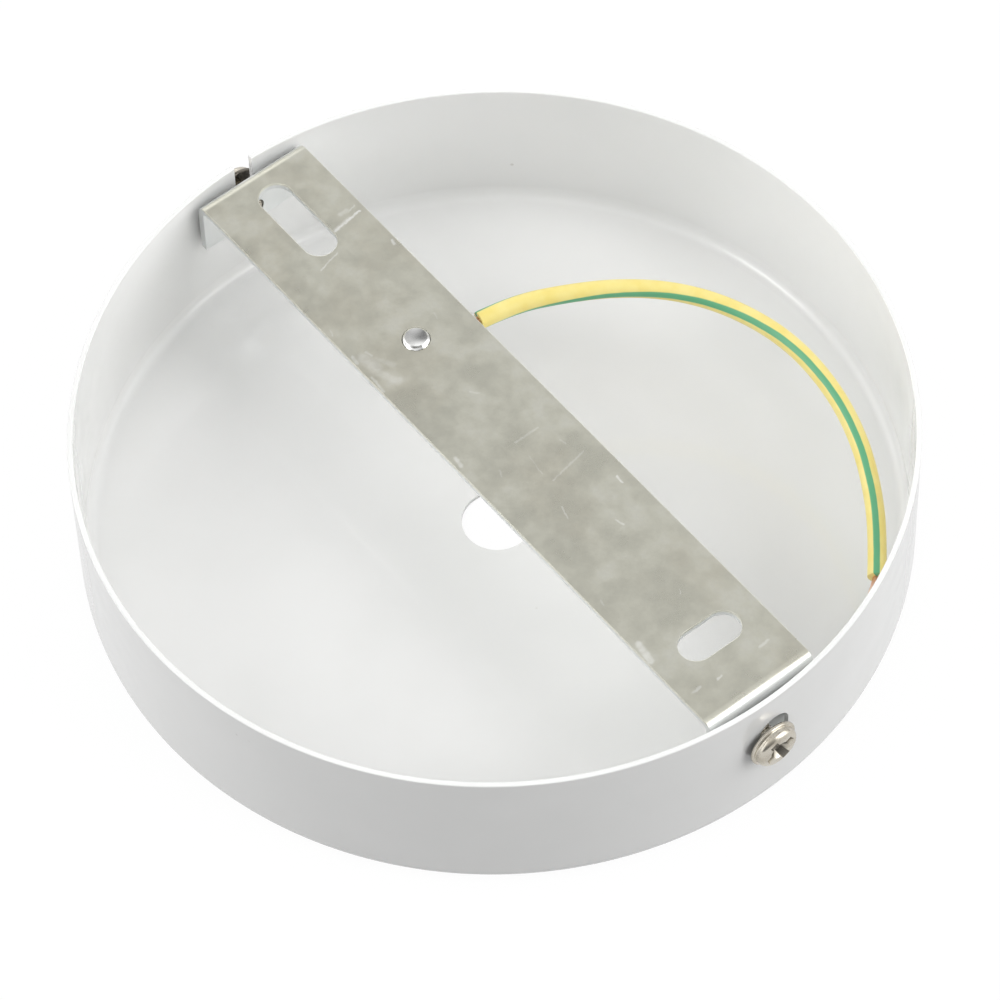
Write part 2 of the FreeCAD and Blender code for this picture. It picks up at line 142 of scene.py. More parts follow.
def tidyMesh(mesh, sharpDegrees):
    # doubles are merged, faces turned outwards and edges sharper than the angle kept crisp
    shape = bmesh.new()
    shape.from_mesh(mesh)
    bmesh.ops.remove_doubles(shape, verts=shape.verts, dist=1e-7)
    bmesh.ops.dissolve_degenerate(shape, edges=shape.edges, dist=1e-8)
    bmesh.ops.recalc_face_normals(shape, faces=shape.faces)
    shape.to_mesh(mesh)
    shape.free()
    mesh.shade_smooth()
    mesh.set_sharp_from_angle(angle=math.radians(sharpDegrees))


def moved(piece, matrix):
    # the place goes into the mesh, so that the object itself stays at the origin
    piece.data.transform(matrix)
    piece.data.update()
    return piece


def settle(piece, sharpDegrees=30):
    # the piece's modifiers are worked into its mesh
    bpy.context.view_layer.update()
    settled = piece.evaluated_get(bpy.context.evaluated_depsgraph_get())
    mesh = bpy.data.meshes.new_from_object(settled)
    piece.modifiers.clear()
    old = piece.data
    piece.data = mesh
    bpy.data.meshes.remove(old)
    mesh.name = piece.name
    tidyMesh(mesh, sharpDegrees)
    return piece


def cutAway(piece, cutters, sharpDegrees=30):
    # the cutters are taken out of the piece, and then deleted
    for cutter in cutters:
        cut = piece.modifiers.new("cut", "BOOLEAN")
        cut.operation = "DIFFERENCE"
        cut.solver = "EXACT"
        cut.object = cutter
    settle(piece, sharpDegrees)
    for cutter in cutters:
        bpy.data.objects.remove(cutter)
    return piece


def softEdges(piece, width, segments=2, degrees=40):
    # every edge sharper than the angle gets a small round, as punched and rolled metal has
    soft = piece.modifiers.new("soft", "BEVEL")
    soft.width = width
    soft.segments = segments
    soft.limit_method = "ANGLE"
    soft.angle_limit = math.radians(degrees)
    soft.use_clamp_overlap = True
    return piece


def trueFlats(piece):
    # large flat faces keep their own direction, so that the rounds beside them don't shade them
    flats = piece.modifiers.new("flats", "WEIGHTED_NORMAL")
    flats.mode = "FACE_AREA"
    flats.weight = 90
    flats.keep_sharp = True
    return piece


def joined(name, pieces, sharpDegrees=30):
    # several shells become one mesh, and so one piece
    shape = bmesh.new()
    for piece in pieces:
        shape.from_mesh(piece.data)
    mesh = bpy.data.meshes.new(name)
    shape.to_mesh(mesh)
    shape.free()
    for piece in pieces:
        old = piece.data
        bpy.data.objects.remove(piece)
        bpy.data.meshes.remove(old)
    tidyMesh(mesh, sharpDegrees)
    whole = bpy.data.objects.new(name, mesh)
    bpy.context.collection.objects.link(whole)
    return whole


def prism(name, outline, low, high):
    # an outline in the XY plane, raised between two heights
    count = len(outline)
    bottom = np.column_stack([outline, np.full(count, low)])
    top = np.column_stack([outline, np.full(count, high)])
    sides = gridFaces(2, count)
    faces = [list(face) for face in sides] + [list(range(count))[::-1], list(range(count, 2 * count))]
    return newPiece(name, np.vstack([bottom, top]), faces)


alongX = Matrix(((0, 0, 1, 0), (1, 0, 0, 0), (0, 1, 0, 0), (0, 0, 0, 1)))   # local XY becomes world YZ


# the earth wire: a round sheath along one smooth curve, with bare strands at both its ends
wire = {
    "diameter": 2.7 * mm,
    "length": 89.4 * mm,
    "around": 48,
    "along": 320,
    "edge": 0.12 * mm,
    "faceShares": (0.8, 0.4, 0.0),
}
wireRoute = [
    (-17.392, 10.988, 21.4),
    (-16.565, 16.526, 21.4),
    (-13.592, 23.488, 21.1),
    (-9.692, 30.388, 20.8),
    (-4.192, 36.688, 20.4),
    (3.108, 41.388, 19.9),
    (12.308, 44.088, 19.3),
    (22.308, 43.688, 18.7),
    (31.708, 40.888, 18.1),
    (40.008, 36.288, 17.5),
    (45.808, 31.888, 16.9),
    (49.708, 28.388, 16.5),
]
strands = {
    "radius": 0.19 * mm,
    "ring": 0.42 * mm,
    "length": 4.0 * mm,
    "way": (0.52, -0.84, -0.12),     # the way that the free strands lean
    "twist": 70.0,                   # degrees that the bundle turns over the free length
    "spread": 0.34 * mm,
    "around": 10,
    "along": 22,
    "stubRadius": 0.235 * mm,
    "stubRing": 0.475 * mm,
    "stubLength": 5.35 * mm,
    "ringCount": 6,                  # strands round the middle one
    "edge": 0.05 * mm,
    "faceShares": (0.6, 0.0),
}


def smoothLine(name, points, smoothness=24):
    # a NURBS curve through space with the points as its controls, read back as points along it
    curve = bpy.data.curves.new(name, "CURVE")
    curve.dimensions = "3D"
    spline = curve.splines.new("NURBS")
    spline.points.add(len(points) - 1)
    for control, point in zip(spline.points, points):
        control.co = (point[0] * mm, point[1] * mm, point[2] * mm, 1)
    spline.order_u = 3
    spline.use_endpoint_u = True
    curve.resolution_u = smoothness
    holder = bpy.data.objects.new(name, curve)
    bpy.context.collection.objects.link(holder)
    bpy.context.view_layer.update()
    settled = holder.evaluated_get(bpy.context.evaluated_depsgraph_get())
    mesh = bpy.data.meshes.new_from_object(settled)
    line = np.array([vertex.co[:] for vertex in mesh.vertices])
    bpy.data.meshes.remove(mesh)
    bpy.data.objects.remove(holder)
    bpy.data.curves.remove(curve)
    return line


def evenly(line, count):
    # the same line with points at equal distances
    length = np.concatenate([[0], np.cumsum(np.linalg.norm(np.diff(line, axis=0), axis=1))])
    want = np.linspace(0, length[-1], count)
    return np.column_stack([np.interp(want, length, line[:, k]) for k in range(3)])


def frames(line):
    # a tangent, a level side and a rise for each point of the line
    tangent = np.gradient(line, axis=0)
    tangent /= np.linalg.norm(tangent, axis=1)[:, None]
    side = np.cross(tangent, (0, 0, 1))
    side /= np.linalg.norm(side, axis=1)[:, None]
    return tangent, side, np.cross(side, tangent)


def tube(name, line, radius, around, sharpDegrees=60, edge=0.0, faceShares=(0.5, 0.0), withMap=False):
    # a circle of the given radius, one value or one for each point, is carried along the line. Each
    # end turns in over a small round edge and closes on the line. The map's U is the distance along in
    # metres, and its V the share of a turn from the top over the side
    tangent, side, rise = frames(line)
    size = np.broadcast_to(np.asarray(radius, float), len(line))
    turn = np.linspace(0, 2 * np.pi, around, endpoint=False)
    ring = np.cos(turn)[None, :, None] * rise[:, None] + np.sin(turn)[None, :, None] * side[:, None]
    rows = line[:, None] + ring * size[:, None, None]
    away = np.concatenate([[0], np.cumsum(np.linalg.norm(np.diff(line, axis=0), axis=1))])
    caps = []
    for at, way in ((0, -1), (len(line) - 1, 1)):
        steps = np.radians(np.linspace(0, 90, 5)) if edge else []
        lip = [line[at] + tangent[at] * way * edge * (math.sin(s) - 1)
               + ring[at] * (size[at] - edge + edge * math.cos(s)) for s in steps]
        caps.append(lip + [line[at] + ring[at] * share * (size[at] - edge) for share in faceShares])
    inner = (away > edge) & (away < away[-1] - edge) if edge else np.full(len(line), True)
    grid = np.concatenate([np.array(caps[0][::-1]), rows[inner], np.array(caps[1])])
    quads = gridFaces(len(grid), around)
    maps = None
    if withMap:
        travel = np.concatenate([np.zeros(len(caps[0])), away[inner], np.full(len(caps[1]), away[-1])])
        row, column = np.divmod(quads, around)
        column = np.where((column == 0) & (column.max(axis=1, keepdims=True) == around - 1), around, column)
        maps = np.stack([travel[row], column / around], axis=-1).reshape(-1, 2)
    return newPiece(name, grid, quads, sharpDegrees, maps)


def makeSheath(line):
    piece = tube("earthWireSheath", line, wire["diameter"] / 2, wire["around"], 60, wire["edge"],
                 wire["faceShares"], withMap=True)
    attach(piece, "rose")
    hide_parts("earth_wire")
    return piece


def makeStrands(line):
    # seven strands lean away from the free end and turn slowly about each other. Each one's place in
    # the bundle turns with the distance along, and its tip strays by its own small amount
    tangent, side, rise = frames(line)
    lean = np.array(strands["way"]) / np.linalg.norm(strands["way"])
    share = np.linspace(0, 1, strands["along"])
    ringCount = strands["ringCount"]
    count = ringCount + 1
    pieces = []
    stray = np.random.default_rng(7).uniform(-1, 1, (count, 3))
    for k in range(count):
        angle = 2 * np.pi * k / ringCount + np.radians(strands["twist"]) * share
        ring = 0.0 if k == ringCount else strands["ring"]
        gather = 1 - 0.18 * np.sin(np.pi * np.minimum(share * 1.6, 1))
        place = np.cos(angle)[:, None] * side[-1] + np.sin(angle)[:, None] * rise[-1]
        place = place * (ring * gather)[:, None]
        reach = strands["length"] * (0.93 + 0.07 * stray[k, 2])
        # the strand leaves along the wire and then bends over to the way that the bundle leans
        bend = np.minimum(share * 5, 1)[:, None]
        steps = (tangent[-1] * (1 - bend) + lean * bend)
        steps = np.cumsum(steps, axis=0) - steps[0]
        steps *= reach / (strands["along"] - 1)
        loose = (share ** 2)[:, None] * stray[k] * strands["spread"]
        path = line[-1] - tangent[-1] * 0.3 * mm + place + steps + loose
        size = strands["radius"] * (1 - 0.2 * share ** 3)
        pieces.append(tube("strand", path, size, strands["around"], 60, strands["edge"],
                           strands["faceShares"]))
    for k in range(count):
        ring = 0.0 if k == ringCount else strands["stubRing"]
        away = np.linspace(-strands["stubLength"], 0.3 * mm, 12)
        angle = 2 * np.pi * k / ringCount + away / mm * 0.22
        place = (np.cos(angle)[:, None] * side[0] + np.sin(angle)[:, None] * rise[0]) * ring
        path = line[0] + tangent[0] * away[:, None] + place
        pieces.append(tube("stub", path, strands["stubRadius"], strands["around"], 60, strands["edge"],
                           strands["faceShares"]))
    piece = joined("earthWireStrands", pieces, 60)
    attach(piece, "rose")
    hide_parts("earth_wire_copper")
    return piece


wireLine = evenly(smoothLine("wireRoute", wireRoute), wire["along"])
sheath = makeSheath(wireLine)
bareCopper = makeStrands(wireLine)
print("wire made")


# the pressed cup: one painted shell with a cable hole, a screw slot and a screw notch
cup = {
    "radius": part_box("cup")[1][0],
    "height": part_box("cup")[1][2],
    "wall": 0.8 * mm,
    "bend": 2.0 * mm,
    "rimRound": 0.2 * mm,
    "cableHole": 5.15 * mm,
    "holeEdge": 0.12 * mm,
    "wallSlot": (1.0 * mm, 15.6 * mm, 17.4 * mm, 2.6 * mm),   # across, its two heights and radius
    "notch": (0.6 * mm, 16.4 * mm, 1.55 * mm),                # across, height and radius of its round end
    "cutReach": 6 * mm,                                       # how far a cutter stands clear of the wall
    "steps": 480,
}


def makeCup():
    # the half section runs from the cable hole over the floor, up the inside, over the rim, down the
    # outside and back under the floor, and is turned round Z
    outside, wall, height = cup["radius"], cup["wall"], cup["height"]
    inside = outside - wall
    bendCentre = inside - cup["bend"]
    bendHeight = wall + cup["bend"]
    rim, hole, edge = cup["rimRound"], cup["cableHole"], cup["holeEdge"]
    profile = np.vstack([
        arc(hole + edge, wall - edge, edge, 180, 90, 5),
        straight((hole + edge, wall), (bendCentre, wall), 12),
        arc(bendCentre, bendHeight, cup["bend"], -90, 0, 17),
        straight((inside, bendHeight), (inside, height - rim), 14),
        arc(inside + rim, height - rim, rim, 180, 90, 6),
        arc(outside - rim, height - rim, rim, 90, 0, 6),
        straight((outside, height - rim), (outside, bendHeight), 14),
        arc(bendCentre, bendHeight, cup["bend"] + wall, 0, -90, 17),
        straight((bendCentre, 0), (hole + edge, 0), 12),
        arc(hole + edge, edge, edge, -90, -180, 5),
    ])
    grid = turnedGrid(profile, cup["steps"])
    piece = newPiece("cupShell", grid, gridFaces(len(profile), cup["steps"], closeRows=True))
    across, low, high, radius = cup["wallSlot"]
    reach = cup["cutReach"]
    outline = stadium((across, low), (across, high), radius)
    wallSlot = prism("wallSlot", outline, outside - reach, outside + reach)
    across, seat, half = cup["notch"]
    slotEnd = arc(across, seat, half, 180, 360, 37)
    slotTop = np.array([[across + half, height + 2 * mm], [across - half, height + 2 * mm]])
    notch = prism("notch", np.vstack([slotEnd, slotTop]), -outside - reach, -outside + reach)
    moved(wallSlot, alongX)
    moved(notch, alongX)
    cutAway(piece, [wallSlot, notch])
    trueFlats(piece)
    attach(piece, "rose")
    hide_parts("cup")
    return piece


cupShell = makeCup()
print("cup made")


# the folded bracket: a strip with two bends, punched and tapped, with softly rounded edges
bracket = {
    "end": 58.0 * mm,
    "side": 0.6 * mm,
    "width": 18.4 * mm,
    "top": 24.2 * mm,
    "thick": 1.2 * mm,
    "innerBend": 0.8 * mm,
    "farFoot": 14.2 * mm,
    "nearFoot": 12.2 * mm,
    "punchSide": 0.9 * mm,
    "slotRadius": 2.6 * mm,
    "longSlot": (-51.6 * mm, -41.4 * mm),        # X of the two round ends
    "crossSlot": (46.2 * mm, -1.5 * mm, 3.3 * mm),   # X, and Y of the two round ends
    "earthHole": (-18.9 * mm, 2.05 * mm),
    "tapped": 1.5 * mm,
    "farTapped": (0.6 * mm, 16.8 * mm),
    "nearTapped": (0.0, 15.6 * mm),
    "punchSpan": (20 * mm, 28 * mm),             # heights between which the punches cut
    "tapStarts": (50 * mm, -64 * mm),            # X where the near and far taps start
    "tapReach": 14 * mm,
    "edge": 0.14 * mm,
    "bendSteps": 20,
}


def makeBracket():
    # the side view runs round the strip's outline, with an arc at each corner of each bend
    end, top, thick, inner = bracket["end"], bracket["top"], bracket["thick"], bracket["innerBend"]
    outer = inner + thick
    under = top - thick
    steps = bracket["bendSteps"]
    side = np.vstack([
        np.array([[-end, bracket["farFoot"]], [-end + thick, bracket["farFoot"]]]),
        arc(-end + thick + inner, under - inner, inner, 180, 90, steps),
        arc(end - thick - inner, under - inner, inner, 90, 0, steps),
        np.array([[end - thick, bracket["nearFoot"]], [end, bracket["nearFoot"]]]),
        arc(end - outer, top - outer, outer, 0, 90, steps),
        arc(-end + outer, top - outer, outer, 90, 180, steps),
    ])
    half = bracket["width"] / 2
    strip = prism("bracketStrip", side, -half - bracket["side"], half - bracket["side"])
    # local XY becomes world XZ, so that the raised height runs along -Y
    moved(strip, Matrix(((1, 0, 0, 0), (0, 0, -1, 0), (0, 1, 0, 0), (0, 0, 0, 1))))
    y, r = bracket["punchSide"], bracket["slotRadius"]
    low, high = bracket["punchSpan"]
    x0, x1 = bracket["longSlot"]
    x, y0, y1 = bracket["crossSlot"]
    earthX, earthRadius = bracket["earthHole"]
    cutters = [
        prism("longSlotCut", stadium((x0, y), (x1, y), r), low, high),
        prism("crossSlotCut", stadium((x, y0), (x, y1), r), low, high),
        prism("earthHoleCut", arc(earthX, y, earthRadius, 0, 360, 49)[:-1], low, high),
    ]
    for place, start in zip((bracket["nearTapped"], bracket["farTapped"]), bracket["tapStarts"]):
        outline = arc(place[0], place[1], bracket["tapped"], 0, 360, 49)[:-1]
        cutters.append(moved(prism("tappedCut", outline, start, start + bracket["tapReach"]), alongX))
    cutAway(strip, cutters)
    softEdges(strip, bracket["edge"], 2, 42)
    settle(strip, 35)
    trueFlats(strip)
    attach(strip, "rose")
    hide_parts("bracket")
    return strip


bracketStrip = makeBracket()
print("bracket made")


# screws: a turned head with a tapered cross recess, and a shank with a real thread
sideScrew = {
    "major": 1.45 * mm,
    "minor": 1.2 * mm,
    "pitch": 0.5 * mm,
    "length": 4.3 * mm,
    "collar": (3.8 * mm, 0.6 * mm, 0.2 * mm),      # radius, thickness and edge round
    "head": (3.35 * mm, 1.3 * mm, 0.9 * mm),       # radius, height and crown round
    "span": 5.0 * mm,
    "wing": 1.3 * mm,
    "recess": 1.0 * mm,
    "cone": (1.6 * mm, 1.6 * mm),
    "chamfer": 0.4 * mm,
}
earthScrew = {
    "major": 2.0 * mm,
    "minor": 1.66 * mm,
    "pitch": 0.7 * mm,
    "length": 3.05 * mm,
    "collar": None,
    "head": (3.9 * mm, 2.4 * mm, 1.3 * mm),
    "span": 3.6 * mm,
    "wing": 0.9 * mm,
    "recess": 1.0 * mm,
    "cone": (1.0 * mm, 1.6 * mm),
    "chamfer": 0.4 * mm,
}


def threadedShank(name, screw):
    # each point's radius is the root radius plus the thread's height there, which is a blunt triangle
    # of the height along the shank over the pitch less the angle over a full turn. The tip's chamfer
    # and the plain neck under the head cap that radius
    steps = 64
    rows = int(screw["length"] / screw["pitch"] * 10) + 1
    height = np.linspace(-screw["length"], 0, rows)[:, None]
    turn = np.linspace(0, 2 * np.pi, steps, endpoint=False)[None, :]
    phase = np.mod(height / screw["pitch"] - turn / (2 * np.pi), 1.0)
    ridge = np.clip(1.35 - 3.0 * np.abs(phase - 0.5), 0, 1)
    ridge = ridge * ridge * (3 - 2 * ridge)
    radius = screw["minor"] + (screw["major"] - screw["minor"]) * ridge
    cap = screw["major"] - np.clip(screw["chamfer"] - (height + screw["length"]), 0, None)
    radius = np.minimum(radius, cap)
    level = np.broadcast_to(height, radius.shape)
    body = np.stack([radius * np.cos(turn), radius * np.sin(turn), level], axis=-1)
    # the tip's face is a little dished, as a cut and rolled end is
    dish = []
    for share in (0.93, 0.8, 0.5, 0.2, 0.0):
        flat = radius[0][:, None] * share
        level = np.full((steps, 1), -screw["length"])
        ring = np.concatenate([flat * np.cos(turn.T), flat * np.sin(turn.T), level], axis=1)
        ring[:, 2] += 0.16 * mm * (1 - share ** 2) * screw["major"] / (2.0 * mm)
        dish.append(ring)
    neck = body[-1:].copy()
    neck[0, :, 2] = 0.2 * mm
    closing = np.zeros((1, steps, 3))
    closing[0, :, 2] = 0.2 * mm
    grid = np.concatenate([np.array(dish[::-1]), body, neck, closing])
    return newPiece(name, grid, gridFaces(len(grid), steps), 38)


def taperedCross(name, screw, top):
    # a cross outline that shrinks with depth, above a cone, as a cross driver's point has
    near, far = screw["wing"] / 2, screw["span"] / 2
    quarter = [(near, near), (near, far), (-near, far)]
    half = quarter + [(-near, near), (-far, near), (-far, -near)]
    outline = np.array(half + [(-x, -y) for x, y in half])
    def ring(height, reach, narrow):
        wing = near * narrow
        scaled = np.where(np.abs(outline) > near * 1.01, np.sign(outline) * reach, np.sign(outline) * wing)
        return np.column_stack([scaled, np.full(12, height)])
    rows = np.array([ring(top - screw["recess"], far * 0.52, 0.75), ring(top + 0.3 * mm, far * 1.12, 1.06)])
    faces = [list(face) for face in gridFaces(2, 12)] + [list(range(12))[::-1], list(range(12, 24))]
    cross = newPiece(name, rows, faces)
    wide, deep = screw["cone"]
    cone = turnedGrid(np.array([[0.0, top - deep], [wide * 0.5, top - deep * 0.62], [wide, top + 0.02 * mm],
                                [wide, top + 0.3 * mm], [0.0, top + 0.3 * mm]]), 24)
    return [cross, newPiece(name + "Cone", cone, gridFaces(5, 24))]


def markPaintedShade(piece, screw, top, rimPaintedShade):
    # painted shade: how much the metal is darkened where shade falls. It grows with the depth under the
    # head's top inside the cross, from none at its edge to full a quarter of a millimetre down, is full
    # under the head, and is as given on the collar's rim
    count = len(piece.data.vertices)
    points = np.empty(count * 3)
    piece.data.vertices.foreach_get("co", points)
    points = points.reshape(-1, 3)
    away = np.hypot(points[:, 0], points[:, 1])
    crownStart = screw["head"][0] - screw["head"][2]
    depth = np.clip((top - 0.04 * mm - points[:, 2]) / (0.25 * mm), 0, 1)
    inCross = (away < crownStart + 0.1 * mm) & (points[:, 2] > 0.25 * mm)
    underHead = (away > screw["major"] + 0.1 * mm) & (points[:, 2] < 0.1 * mm)
    onRim = (away > screw["head"][0] + 0.2 * mm) & (points[:, 2] >= 0.1 * mm)
    grimeAndPaintedShade = np.where(inCross, depth, np.where(underHead, 1.0, np.where(onRim, rimPaintedShade, 0.0)))
    layer = piece.data.attributes.new("grimeAndPaintedShade", "FLOAT", "POINT")
    layer.data.foreach_set("value", grimeAndPaintedShade)


def makeScrew(name, node, screw, body, place, rimPaintedShade=0.0):
    # head up along its own Z, with its origin under the head
    radius, height, crown = screw["head"]
    low = 0.0
    profile = [[(0.0, 0.0)]]
    if screw["collar"]:
        wide, thick, soft = screw["collar"]
        low = thick
        profile += [straight((0, 0), (wide - soft, 0), 4), arc(wide - soft, soft, soft, -90, 0, 6),
                    arc(wide - soft, thick - soft, soft, 0, 90, 6), [(radius + 0.1 * mm, thick)],
                    arc(radius + 0.1 * mm, thick + 0.1 * mm, 0.1 * mm, -90, -180, 4)]
    else:
        soft = 0.2 * mm
        profile += [straight((0, 0), (radius - soft, 0), 4), arc(radius - soft, soft, soft, -90, 0, 6)]
    top = low + height
    profile += [arc(radius - crown, top - crown, crown, 0, 84, 14)]
    # the crown goes on as a very shallow dome to the middle
    edge = profile[-1][-1]
    share = np.linspace(0, 1, 10)[1:]
    dome = edge[1] + (top - edge[1]) * (1 - (1 - share) ** 2)
    profile += [np.column_stack([edge[0] * (1 - share), dome])]
    profile = np.vstack([np.asarray(part, float).reshape(-1, 2) for part in profile])
    head = newPiece(name + "Head", turnedGrid(profile, 96), gridFaces(len(profile), 96))
    cutAway(head, taperedCross(name + "Cross", screw, top), 30)
    softEdges(head, 0.06 * mm, 2, 50)
    settle(head, 35)
    piece = joined(name, [head, threadedShank(name + "Shank", screw)], 35)
    markPaintedShade(piece, screw, top, rimPaintedShade)
    moved(piece, place)
    trueFlats(piece)
    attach(piece, body)
    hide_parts(node)
    return piece


def outwards(x, y, z, sign, turn):
    # a screw whose head points along +X or -X, turned about its own axis
    facing = Matrix.Rotation(math.radians(90 * sign), 4, "Y")
    return Matrix.Translation((x, y, z)) @ facing @ Matrix.Rotation(math.radians(turn), 4, "Z")


nearScrew = makeScrew("sideScrewNear", "side_screw_1", sideScrew, "side_screw_1",
                      outwards(60.6 * mm, 0, 15.6 * mm, 1, 28))
# the far screw's collar rim is darkened with painted shade, standing in for the shade in the wall's notch
farScrew = makeScrew("sideScrewFar", "side_screw_2", sideScrew, "side_screw_2",
                     outwards(-61.0 * mm, 0.6 * mm, 16.8 * mm, -1, 10), rimPaintedShade=0.9)
earthPlace = Matrix.Translation((-18.9 * mm, 0.9 * mm, 21.6 * mm)) @ Matrix.Rotation(math.pi, 4, "X")
earthBolt = makeScrew("earthBolt", "earth_screw", earthScrew, "rose", earthPlace)
print("screws made")


# washer and terminal: copies of the CAD solids, with softly rounded edges
def fromSolid(name, node, width):
    piece = bpy.data.objects.new(name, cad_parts[node].data.copy())
    bpy.context.collection.objects.link(piece)
    shape = bmesh.new()
    shape.from_mesh(piece.data)
    bmesh.ops.remove_doubles(shape, verts=shape.verts, dist=1e-6)
    bmesh.ops.dissolve_limit(shape, angle_limit=math.radians(1), verts=shape.verts, edges=shape.edges)
    shape.to_mesh(piece.data)
    shape.free()
    softEdges(piece, width, 2, 35)
    settle(piece, 35)
    trueFlats(piece)
    piece.data.materials.clear()
    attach(piece, "rose")
    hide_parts(node)
    return piece


washer = fromSolid("earthLockWasher", "earth_washer", 0.06 * mm)
terminal = fromSolid("earthRingTerminal", "earth_terminal", 0.08 * mm)
print("washer and terminal made")


# node helpers for the materials
def newMaterial(name):
    material = bpy.data.materials.new(name)
    material.use_nodes = True
    tree = material.node_tree
    return material, tree.nodes, tree.links, tree.nodes["Principled BSDF"]


def objectCoordinates(nodes):
    return nodes.new("ShaderNodeTexCoord").outputs["Object"]


def noiseOf(nodes, links, where, scale, detail=3.0, roughness=0.5):
    node = nodes.new("ShaderNodeTexNoise")
    node.inputs["Scale"].default_value = scale
    node.inputs["Detail"].default_value = detail
    node.inputs["Roughness"].default_value = roughness
    links.new(where, node.inputs["Vector"])
    return node.outputs["Fac"]


def ramped(nodes, links, value, fromLow, fromHigh, toLow, toHigh):
    # the value is carried smoothly from one span to another
    node = nodes.new("ShaderNodeMapRange")
    node.interpolation_type = "SMOOTHSTEP"
    spans = {"From Min": fromLow, "From Max": fromHigh, "To Min": toLow, "To Max": toHigh}
    for name, number in spans.items():
        node.inputs[name].default_value = number
    links.new(value, node.inputs["Value"])
    return node.outputs["Result"]


def combined(nodes, links, operation, first, second):
    node = nodes.new("ShaderNodeMath")
    node.operation = operation
    for at, item in enumerate((first, second)):
        if isinstance(item, (int, float)):
            node.inputs[at].default_value = item
        else:
            links.new(item, node.inputs[at])
    return node.outputs["Value"]


def mixedColour(nodes, links, share, first, second):
    node = nodes.new("ShaderNodeMix")
    node.data_type = "RGBA"
    links.new(share, node.inputs["Factor"])
    for name, item in (("A", first), ("B", second)):
        socket = next(s for s in node.inputs if s.name == name and s.type == "RGBA")
        if isinstance(item, tuple):
            socket.default_value = (*item, 1)
        else:
            links.new(item, socket)
    return next(s for s in node.outputs if s.type == "RGBA")


def bumped(nodes, links, shader, height, strength, distance):
    node = nodes.new("ShaderNodeBump")
    node.inputs["Strength"].default_value = strength
    node.inputs["Distance"].default_value = distance
    links.new(height, node.inputs["Height"])
    links.new(node.outputs["Normal"], shader.inputs["Normal"])
    return node


def vectorMath(nodes, links, operation, first, second=None, scale=None):
    node = nodes.new("ShaderNodeVectorMath")
    node.operation = operation
    for at, item in enumerate((first, second)):
        if item is None:
            continue
        if isinstance(item, tuple):
            node.inputs[at].default_value = item
        else:
            links.new(item, node.inputs[at])
    if scale is not None:
        links.new(scale, node.inputs["Scale"])
    return node


def strokeMask(nodes, links, where, start, end, width, soft):
    # one at the line between two points and nothing further off than the width and softness: the
    # nearest point of the line is the start plus the line times the clamped share of the way along it
    a = Vector((*start, 0)) * mm
    line = Vector((*end, 0)) * mm - a
    off = vectorMath(nodes, links, "SUBTRACT", where, tuple(a)).outputs["Vector"]
    along = vectorMath(nodes, links, "DOT_PRODUCT", off, tuple(line / line.length_squared)).outputs["Value"]
    clamp = nodes.new("ShaderNodeClamp")
    links.new(along, clamp.inputs["Value"])
    foot = vectorMath(nodes, links, "SCALE", tuple(line), scale=clamp.outputs["Result"]).outputs["Vector"]
    rest = vectorMath(nodes, links, "SUBTRACT", off, foot).outputs["Vector"]
    distance = vectorMath(nodes, links, "LENGTH", rest).outputs["Value"]
    return ramped(nodes, links, distance, width * mm, (width + soft) * mm, 1, 0)


# white gloss paint: soft waves in the gloss, faint cloudiness and a few specks of dust in the coat
paint = {
    "colour": (0.88, 0.88, 0.873),
    "shade": (0.85, 0.852, 0.843),
    "roughness": 0.22,
    "coat": 0.9,
    "specular": 0.2,
    "coatRoughness": 0.04,
    "waveScale": 520.0,
    "waveHeight": 0.02 * mm,
    "speckScale": 260.0,
    "speck": (0.72, 0.71, 0.69),
}


def makePaint():
    material, nodes, links, shader = newMaterial("whiteGlossPaint")
    where = objectCoordinates(nodes)
    cloud = noiseOf(nodes, links, where, 38.0, 3.0)
    shaded = ramped(nodes, links, cloud, 0.35, 0.7, 0, 1)
    base = mixedColour(nodes, links, shaded, paint["colour"], paint["shade"])
    speck = nodes.new("ShaderNodeTexVoronoi")
    speck.inputs["Scale"].default_value = paint["speckScale"]
    links.new(where, speck.inputs["Vector"])
    rare = ramped(nodes, links, noiseOf(nodes, links, where, 95.0, 1.0), 0.66, 0.68, 0, 1)
    core = ramped(nodes, links, speck.outputs["Distance"], 0.05, 0.09, 1, 0)
    dot = combined(nodes, links, "MULTIPLY", core, rare)
    base = mixedColour(nodes, links, dot, base, paint["speck"])
    links.new(base, shader.inputs["Base Color"])
    waxy = noiseOf(nodes, links, where, 150.0, 2.0)
    rough = ramped(nodes, links, waxy, 0.3, 0.7, paint["roughness"] - 0.04, paint["roughness"] + 0.05)
    links.new(rough, shader.inputs["Roughness"])
    shader.inputs["Specular IOR Level"].default_value = paint["specular"]
    shader.inputs["Coat Weight"].default_value = paint["coat"]
    shader.inputs["Coat Roughness"].default_value = paint["coatRoughness"]
    wave = noiseOf(nodes, links, where, paint["waveScale"], 1.0)
    bumped(nodes, links, shader, wave, 0.35, paint["waveHeight"])
    return material


# zinc plate on strip steel: clean and bright on the folds, and on the flat top a thin cloudy film
# with brownish patches, scratches and bright nicks
zinc = {
    "film": (0.77, 0.76, 0.655),
    "brown": (0.745, 0.715, 0.6),
    "silver": (0.785, 0.785, 0.74),
    "clean": (0.81, 0.825, 0.82),
    "spot": (0.62, 0.61, 0.54),
    "bright": (0.97, 0.97, 0.94),
    "roughness": 0.32,
    "foldRoughness": 0.10,     # how much duller the folds are, where bending has frosted the plate
    "metallic": 1.0,
    "strokeShake": 0.45 * mm,  # how far a stroke's edge strays
}
